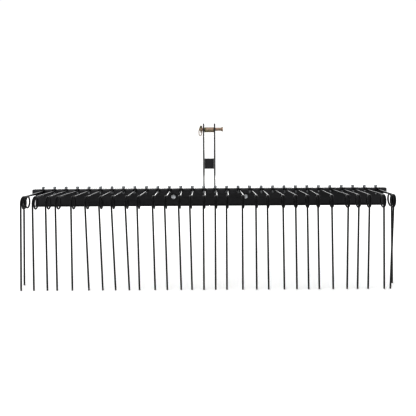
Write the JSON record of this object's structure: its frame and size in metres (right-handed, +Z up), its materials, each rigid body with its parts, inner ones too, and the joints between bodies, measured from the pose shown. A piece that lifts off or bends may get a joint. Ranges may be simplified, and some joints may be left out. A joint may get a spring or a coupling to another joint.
{
  "type": "lawn dethatcher",
  "caption": "Tractor rake on a three-point hitch: a folded steel beam carries a row of sprung wire tines that comb thatch out of a lawn, with a mast, a top-link pin and lower hitch pins.",
  "frame": {"origin": "middle of the foot of the whole, on the ground line that the tine tips touch", "axes": "+X along the beam, +Y forwards to the tractor, +Z up"},
  "size_m": [1.8138, 0.4007, 0.756],
  "materials": {
    "black_paint": "gloss black powder coat",
    "tine_paint": "semi-gloss black on spring wire",
    "yellow_zinc": "yellow zinc plating",
    "bright_zinc": "bright zinc plating"
  },
  "bodies": {
    "frame": {"main_beam_top": "black_paint", "main_beam_lip": "black_paint", "main_beam_web": "black_paint", "main_beam_foot": "black_paint", "mast_spacer": "black_paint", "hitch_back_plate": "black_paint", "mast_plate_left": "black_paint", "lower_hitch_lug_left": "black_paint", "lower_hitch_pin_left": "yellow_zinc", "lower_hitch_pin_nut_left": "bright_zinc", "hitch_bolt_left": "bright_zinc", "hitch_bolt_nut_left": "bright_zinc", "lower_left_linchpin": "yellow_zinc", "mast_plate_right": "black_paint", "lower_hitch_lug_right": "black_paint", "lower_hitch_pin_right": "yellow_zinc", "lower_hitch_pin_nut_right": "bright_zinc", "hitch_bolt_right": "bright_zinc", "hitch_bolt_nut_right": "bright_zinc", "lower_right_linchpin": "yellow_zinc"},
    "tine_01": {"tine_01": "tine_paint"},
    "tine_02": {"tine_02": "tine_paint"},
    "tine_03": {"tine_03": "tine_paint"},
    "tine_04": {"tine_04": "tine_paint"},
    "tine_05": {"tine_05": "tine_paint"},
    "tine_06": {"tine_06": "tine_paint"},
    "tine_07": {"tine_07": "tine_paint"},
    "tine_08": {"tine_08": "tine_paint"},
    "tine_09": {"tine_09": "tine_paint"},
    "tine_10": {"tine_10": "tine_paint"},
    "tine_11": {"tine_11": "tine_paint"},
    "tine_12": {"tine_12": "tine_paint"},
    "tine_13": {"tine_13": "tine_paint"},
    "tine_14": {"tine_14": "tine_paint"},
    "tine_15": {"tine_15": "tine_paint"},
    "tine_16": {"tine_16": "tine_paint"},
    "tine_17": {"tine_17": "tine_paint"},
    "tine_18": {"tine_18": "tine_paint"},
    "tine_19": {"tine_19": "tine_paint"},
    "tine_20": {"tine_20": "tine_paint"},
    "tine_21": {"tine_21": "tine_paint"},
    "tine_22": {"tine_22": "tine_paint"},
    "tine_23": {"tine_23": "tine_paint"},
    "tine_24": {"tine_24": "tine_paint"},
    "tine_25": {"tine_25": "tine_paint"},
    "tine_26": {"tine_26": "tine_paint"},
    "tine_27": {"tine_27": "tine_paint"},
    "tine_28": {"tine_28": "tine_paint"},
    "tine_29": {"tine_29": "tine_paint"},
    "tine_30": {"tine_30": "tine_paint"},
    "end_tine_left": {"end_tine_left": "tine_paint"},
    "end_tine_right": {"end_tine_right": "tine_paint"},
    "top_link_pin": {"top_link_pin": "yellow_zinc", "top_linchpin": "yellow_zinc"},
    "top_link_sleeve": {"top_link_sleeve": "yellow_zinc"},
    "top_linchpin_ring": {"top_linchpin_ring": "yellow_zinc"},
    "lower_left_linchpin_ring": {"lower_left_linchpin_ring": "yellow_zinc"},
    "lower_right_linchpin_ring": {"lower_right_linchpin_ring": "yellow_zinc"}
  },
  "joints": [
    {"name": "top_link_pin_slide", "type": "slide", "parent": "frame", "child": "top_link_pin", "axis": [1, 0, 0], "range_m": [-0.0325, 0.003]},
    {"name": "top_link_sleeve_spin", "type": "hinge", "parent": "frame", "child": "top_link_sleeve", "pos_m": [0, 0.17035, 0.7232], "axis": [1, 0, 0], "continuous": true},
    {"name": "top_linchpin_ring_open", "type": "hinge", "parent": "top_link_pin", "child": "top_linchpin_ring", "pos_m": [-0.043, 0.17035, 0.7395], "axis": [-0.3584, 0.9336, 0], "range_deg": [0, 150]},
    {"name": "lower_left_linchpin_ring_open", "type": "hinge", "parent": "frame", "child": "lower_left_linchpin_ring", "pos_m": [-0.322, 0.17035, 0.3775], "axis": [-0.3584, 0.9336, 0], "range_deg": [0, 150]},
    {"name": "lower_right_linchpin_ring_open", "type": "hinge", "parent": "frame", "child": "lower_right_linchpin_ring", "pos_m": [0.322, 0.17035, 0.3775], "axis": [-0.3584, -0.9336, 0], "range_deg": [0, 150]},
    {"name": "end_tine_left_flex", "type": "hinge", "parent": "frame", "child": "end_tine_left", "pos_m": [-0.86709, -0.08966, 0.38694], "axis": [-0.9988, 0.0486, 0], "range_deg": [-8, 30], "stiffness_Nm_per_rad": 111, "deforming": ["end_tine_left"]},
    {"name": "end_tine_right_flex", "type": "hinge", "parent": "frame", "child": "end_tine_right", "pos_m": [0.8611, -0.08983, 0.38694], "axis": [-1, -0.0088, 0], "range_deg": [-8, 30], "stiffness_Nm_per_rad": 111, "deforming": ["end_tine_right"]},
    {"name": "tine_01_flex", "type": "hinge", "parent": "frame", "child": "tine_01", "pos_m": [-0.85381, -0.16881, 0.39434], "axis": [-0.9999, -0.0131, 0], "range_deg": [-8, 30], "stiffness_Nm_per_rad": 111, "deforming": ["tine_01"]},
    {"name": "tine_02_flex", "type": "hinge", "parent": "frame", "child": "tine_02", "pos_m": [-0.80007, -0.16885, 0.39434], "axis": [-1, 0.0066, 0], "range_deg": [-8, 30], "stiffness_Nm_per_rad": 111, "deforming": ["tine_02"]},
    {"name": "tine_03_flex", "type": "hinge", "parent": "frame", "child": "tine_03", "pos_m": [-0.74087, -0.16885, 0.39434], "axis": [-1, 0.0066, 0], "range_deg": [-8, 30], "stiffness_Nm_per_rad": 111, "deforming": ["tine_03"]},
    {"name": "tine_04_flex", "type": "hinge", "parent": "frame", "child": "tine_04", "pos_m": [-0.69528, -0.16847, 0.39434], "axis": [-0.9985, 0.0557, 0], "range_deg": [-8, 30], "stiffness_Nm_per_rad": 111, "deforming": ["tine_04"]},
    {"name": "tine_05_flex", "type": "hinge", "parent": "frame", "child": "tine_05", "pos_m": [-0.62519, -0.16883, 0.39434], "axis": [-0.9999, 0.0164, 0], "range_deg": [-8, 30], "stiffness_Nm_per_rad": 111, "deforming": ["tine_05"]},
    {"name": "tine_06_flex", "type": "hinge", "parent": "frame", "child": "tine_06", "pos_m": [-0.56236, -0.16885, 0.39434], "axis": [-1, 0.0033, 0], "range_deg": [-8, 30], "stiffness_Nm_per_rad": 111, "deforming": ["tine_06"]},
    {"name": "tine_07_flex", "type": "hinge", "parent": "frame", "child": "tine_07", "pos_m": [-0.49952, -0.16883, 0.39434], "axis": [-1, -0.0098, 0], "range_deg": [-8, 30], "stiffness_Nm_per_rad": 111, "deforming": ["tine_07"]},
    {"name": "tine_08_flex", "type": "hinge", "parent": "frame", "child": "tine_08", "pos_m": [-0.44305, -0.16885, 0.39434], "axis": [-1, 0, 0], "range_deg": [-8, 30], "stiffness_Nm_per_rad": 111, "deforming": ["tine_08"]},
    {"name": "tine_09_flex", "type": "hinge", "parent": "frame", "child": "tine_09", "pos_m": [-0.38021, -0.16881, 0.39434], "axis": [-0.9999, -0.0131, 0], "range_deg": [-8, 30], "stiffness_Nm_per_rad": 111, "deforming": ["tine_09"]},
    {"name": "tine_10_flex", "type": "hinge", "parent": "frame", "child": "tine_10", "pos_m": [-0.32556, -0.16885, 0.39434], "axis": [-1, 0.0033, 0], "range_deg": [-8, 30], "stiffness_Nm_per_rad": 111, "deforming": ["tine_10"]},
    {"name": "tine_11_flex", "type": "hinge", "parent": "frame", "child": "tine_11", "pos_m": [-0.25637, -0.16867, 0.39434], "axis": [-0.9995, -0.0328, 0], "range_deg": [-8, 30], "stiffness_Nm_per_rad": 111, "deforming": ["tine_11"]},
    {"name": "tine_12_flex", "type": "hinge", "parent": "frame", "child": "tine_12", "pos_m": [-0.2008, -0.16878, 0.39434], "axis": [-0.9998, -0.0197, 0], "range_deg": [-8, 30], "stiffness_Nm_per_rad": 111, "deforming": ["tine_12"]},
    {"name": "tine_13_flex", "type": "hinge", "parent": "frame", "child": "tine_13", "pos_m": [-0.13797, -0.16867, 0.39434], "axis": [-0.9995, -0.0328, 0], "range_deg": [-8, 30], "stiffness_Nm_per_rad": 111, "deforming": ["tine_13"]},
    {"name": "tine_14_flex", "type": "hinge", "parent": "frame", "child": "tine_14", "pos_m": [-0.08603, -0.16884, 0.39434], "axis": [-1, -0.0066, 0], "range_deg": [-8, 30], "stiffness_Nm_per_rad": 111, "deforming": ["tine_14"]},
    {"name": "tine_15_flex", "type": "hinge", "parent": "frame", "child": "tine_15", "pos_m": [-0.02411, -0.1688, 0.39434], "axis": [-0.9999, -0.0164, 0], "range_deg": [-8, 30], "stiffness_Nm_per_rad": 111, "deforming": ["tine_15"]},
    {"name": "tine_16_flex", "type": "hinge", "parent": "frame", "child": "tine_16", "pos_m": [0.03055, -0.16885, 0.39434], "axis": [-1, 0, 0], "range_deg": [-8, 30], "stiffness_Nm_per_rad": 111, "deforming": ["tine_16"]},
    {"name": "tine_17_flex", "type": "hinge", "parent": "frame", "child": "tine_17", "pos_m": [0.08248, -0.16878, 0.39434], "axis": [-0.9997, 0.0262, 0], "range_deg": [-8, 30], "stiffness_Nm_per_rad": 111, "deforming": ["tine_17"]},
    {"name": "tine_18_flex", "type": "hinge", "parent": "frame", "child": "tine_18", "pos_m": [0.15349, -0.1688, 0.39434], "axis": [-0.9999, -0.0164, 0], "range_deg": [-8, 30], "stiffness_Nm_per_rad": 111, "deforming": ["tine_18"]},
    {"name": "tine_19_flex", "type": "hinge", "parent": "frame", "child": "tine_19", "pos_m": [0.21451, -0.16876, 0.39434], "axis": [-0.9997, -0.0229, 0], "range_deg": [-8, 30], "stiffness_Nm_per_rad": 111, "deforming": ["tine_19"]},
    {"name": "tine_20_flex", "type": "hinge", "parent": "frame", "child": "tine_20", "pos_m": [0.26735, -0.16885, 0.39434], "axis": [-1, 0, 0], "range_deg": [-8, 30], "stiffness_Nm_per_rad": 111, "deforming": ["tine_20"]},
    {"name": "tine_21_flex", "type": "hinge", "parent": "frame", "child": "tine_21", "pos_m": [0.33745, -0.1686, 0.39434], "axis": [-0.9992, -0.0393, 0], "range_deg": [-8, 30], "stiffness_Nm_per_rad": 111, "deforming": ["tine_21"]},
    {"name": "tine_22_flex", "type": "hinge", "parent": "frame", "child": "tine_22", "pos_m": [0.39483, -0.16867, 0.39434], "axis": [-0.9995, -0.0328, 0], "range_deg": [-8, 30], "stiffness_Nm_per_rad": 111, "deforming": ["tine_22"]},
    {"name": "tine_23_flex", "type": "hinge", "parent": "frame", "child": "tine_23", "pos_m": [0.44859, -0.16881, 0.39434], "axis": [-0.9999, -0.0131, 0], "range_deg": [-8, 30], "stiffness_Nm_per_rad": 111, "deforming": ["tine_23"]},
    {"name": "tine_24_flex", "type": "hinge", "parent": "frame", "child": "tine_24", "pos_m": [0.49779, -0.1688, 0.39434], "axis": [-0.9997, 0.0229, 0], "range_deg": [-8, 30], "stiffness_Nm_per_rad": 111, "deforming": ["tine_24"]},
    {"name": "tine_25_flex", "type": "hinge", "parent": "frame", "child": "tine_25", "pos_m": [0.56062, -0.16885, 0.39434], "axis": [-1, 0.0098, 0], "range_deg": [-8, 30], "stiffness_Nm_per_rad": 111, "deforming": ["tine_25"]},
    {"name": "tine_26_flex", "type": "hinge", "parent": "frame", "child": "tine_26", "pos_m": [0.63435, -0.16856, 0.39434], "axis": [-0.9991, -0.0426, 0], "range_deg": [-8, 30], "stiffness_Nm_per_rad": 111, "deforming": ["tine_26"]},
    {"name": "tine_27_flex", "type": "hinge", "parent": "frame", "child": "tine_27", "pos_m": [0.68357, -0.16884, 0.39434], "axis": [-1, -0.0066, 0], "range_deg": [-8, 30], "stiffness_Nm_per_rad": 111, "deforming": ["tine_27"]},
    {"name": "tine_28_flex", "type": "hinge", "parent": "frame", "child": "tine_28", "pos_m": [0.73277, -0.16876, 0.39434], "axis": [-0.9996, 0.0295, 0], "range_deg": [-8, 30], "stiffness_Nm_per_rad": 111, "deforming": ["tine_28"]},
    {"name": "tine_29_flex", "type": "hinge", "parent": "frame", "child": "tine_29", "pos_m": [0.79742, -0.16885, 0.39434], "axis": [-1, 0.0098, 0], "range_deg": [-8, 30], "stiffness_Nm_per_rad": 111, "deforming": ["tine_29"]},
    {"name": "tine_30_flex", "type": "hinge", "parent": "frame", "child": "tine_30", "pos_m": [0.84392, -0.16847, 0.39434], "axis": [-0.9985, 0.0557, 0], "range_deg": [-8, 30], "stiffness_Nm_per_rad": 111, "deforming": ["tine_30"]}
  ]
}
